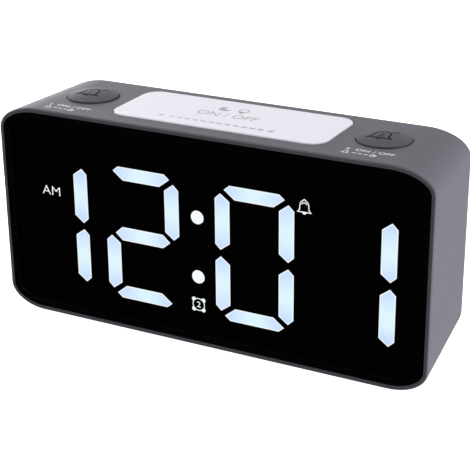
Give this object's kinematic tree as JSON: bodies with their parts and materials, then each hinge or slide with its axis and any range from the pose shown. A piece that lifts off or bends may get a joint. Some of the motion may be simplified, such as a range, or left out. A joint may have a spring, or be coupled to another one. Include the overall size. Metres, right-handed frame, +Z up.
{
  "type": "digital desk clock",
  "caption": "Grey box-shaped desk clock with a black window and large lit digits, a wide white bar key and round keys on top, and small keys, a power inlet and a cell hatch behind.",
  "frame": {"origin": "centre of the bounding box at the surface that the feet stand on", "axes": "+X to the viewer's right, +Y from the window to the back, +Z up"},
  "size_m": [0.16, 0.0426, 0.0787],
  "materials": {
    "case_grey": "fine matt grey moulding",
    "key_grey": "matt grey moulding",
    "lens_smoked": "polished smoked acrylic",
    "bar_white": "satin translucent white",
    "mask_black": "black moulding",
    "light_lit": "lit diffuser",
    "light_unlit": "unlit diffuser behind black film",
    "board_green": "green solder mask",
    "chip_black": "black package",
    "plunger_pale": "pale nylon",
    "led_white": "clear cap over a white chip",
    "steel": "plated steel",
    "brass": "plated contact",
    "rubber": "soft pads"
  },
  "bodies": {
    "case": {"buzzer": "mask_black", "case_screws": "steel", "cell_contact": "brass", "cell_holder": "mask_black", "coin_cell": "steel", "colon_dots": "light_lit", "display_board": "board_green", "display_leds": "led_white", "display_link": "mask_black", "display_mask": "mask_black", "display_screws": "steel", "driver_chip": "chip_black", "front_feet": "rubber", "front_lens": "lens_smoked", "housing": "case_grey", "indicator_windows": "light_unlit", "inlet_pin": "steel", "inlet_tails": "brass", "key_board": "board_green", "key_board_screws": "steel", "key_header": "mask_black", "key_switches": "chip_black", "main_board": "board_green", "main_board_screws": "steel", "main_chip": "chip_black", "night_light_leds": "led_white", "power_inlet": "mask_black", "rear_cover": "case_grey", "rear_feet": "rubber", "rear_switches": "chip_black", "segments_hours": "light_lit", "segments_hours_tens": "light_lit", "segments_minutes": "light_lit", "segments_minutes_tens": "light_lit", "segments_unlit": "light_unlit"},
    "left_button": {"left_button": "key_grey", "left_plunger": "plunger_pale"},
    "right_button": {"right_button": "key_grey", "right_plunger": "plunger_pale"},
    "snooze_bar": {"snooze_bar": "bar_white", "bar_plungers": "plunger_pale"},
    "clock_set_key": {"clock_set_key": "key_grey", "clock_set_plunger": "plunger_pale"},
    "minus_key": {"minus_key": "key_grey", "minus_plunger": "plunger_pale"},
    "plus_key": {"plus_key": "key_grey", "plus_plunger": "plunger_pale"},
    "dimmer_key": {"dimmer_key": "key_grey", "dimmer_plunger": "plunger_pale"},
    "cell_hatch": {"cell_hatch": "key_grey"}
  },
  "joints": [
    {"name": "left_button_press", "type": "slide", "parent": "case", "child": "left_button", "axis": [0, 0, -1], "range_m": [0, 0.0008], "stiffness_N_per_m": 1000},
    {"name": "right_button_press", "type": "slide", "parent": "case", "child": "right_button", "axis": [0, 0, -1], "range_m": [0, 0.0008], "stiffness_N_per_m": 1000},
    {"name": "snooze_bar_press", "type": "slide", "parent": "case", "child": "snooze_bar", "axis": [0, 0, -1], "range_m": [0, 0.0008], "stiffness_N_per_m": 1000},
    {"name": "clock_set_key_press", "type": "slide", "parent": "case", "child": "clock_set_key", "axis": [0, -1, 0], "range_m": [0, 0.0008], "stiffness_N_per_m": 1000},
    {"name": "minus_key_press", "type": "slide", "parent": "case", "child": "minus_key", "axis": [0, -1, 0], "range_m": [0, 0.0008], "stiffness_N_per_m": 1000},
    {"name": "plus_key_press", "type": "slide", "parent": "case", "child": "plus_key", "axis": [0, -1, 0], "range_m": [0, 0.0008], "stiffness_N_per_m": 1000},
    {"name": "dimmer_key_press", "type": "slide", "parent": "case", "child": "dimmer_key", "axis": [0, -1, 0], "range_m": [0, 0.0008], "stiffness_N_per_m": 1000},
    {"name": "cell_hatch_turn", "type": "hinge", "parent": "case", "child": "cell_hatch", "pos_m": [0.034, 0.02075, 0.027], "axis": [0, 1, 0], "range_deg": [0, 45]}
  ]
}
